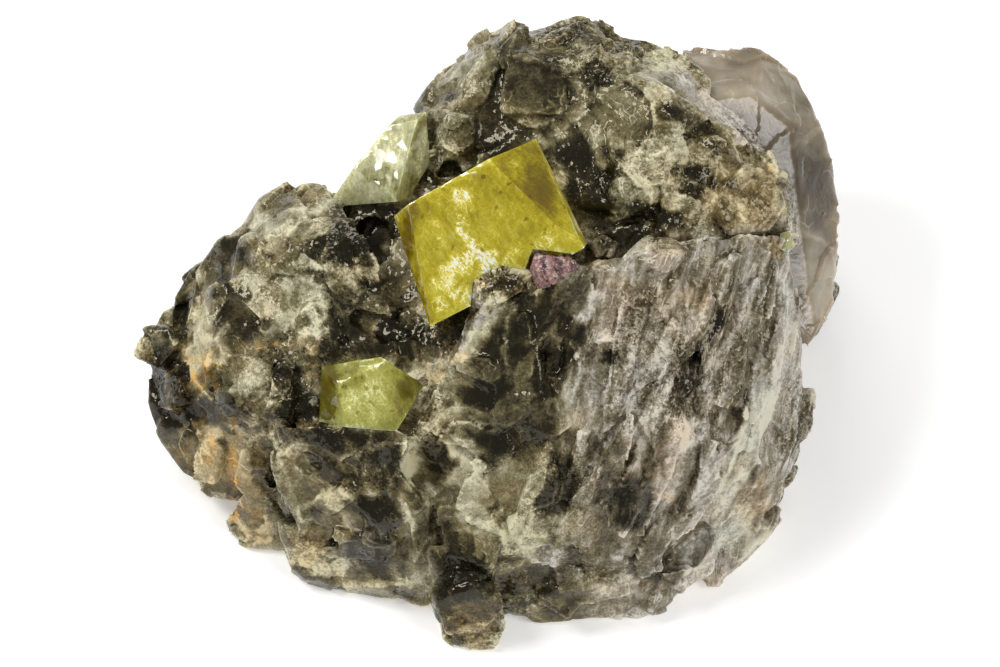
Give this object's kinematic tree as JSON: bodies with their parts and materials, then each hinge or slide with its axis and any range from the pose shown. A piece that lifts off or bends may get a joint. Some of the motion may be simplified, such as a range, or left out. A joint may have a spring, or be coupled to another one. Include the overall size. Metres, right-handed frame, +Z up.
{
  "type": "rhodizite mineral specimen",
  "caption": "Broken hand specimen of grey-brown quartz and feldspar with sharp yellow rhodizite crystals set in its display face, resting on a flat underside.",
  "frame": {"origin": "middle of the bounding box's underside, on the plane that the specimen rests on", "axes": "+Z up; +X to the right across the display face; the display face looks up and towards -Y, 60 degrees above level"},
  "size_m": [0.05, 0.0402, 0.0262],
  "materials": {
    "matrix": "broken, glassy in places",
    "rhodizite": "glassy crystal faces",
    "pale_rhodizite": "glassy crystal faces",
    "tourmaline": "glassy",
    "smoky_quartz": "glassy, cloudy inside"
  },
  "bodies": {
    "root": {"quartz_matrix": "matrix", "rhodizite_main": "rhodizite", "rhodizite_lower": "rhodizite", "rhodizite_upper": "pale_rhodizite", "rhodizite_grain": "pale_rhodizite", "tourmaline_grain": "tourmaline", "smoky_crystal": "smoky_quartz"}
  },
  "joints": []
}
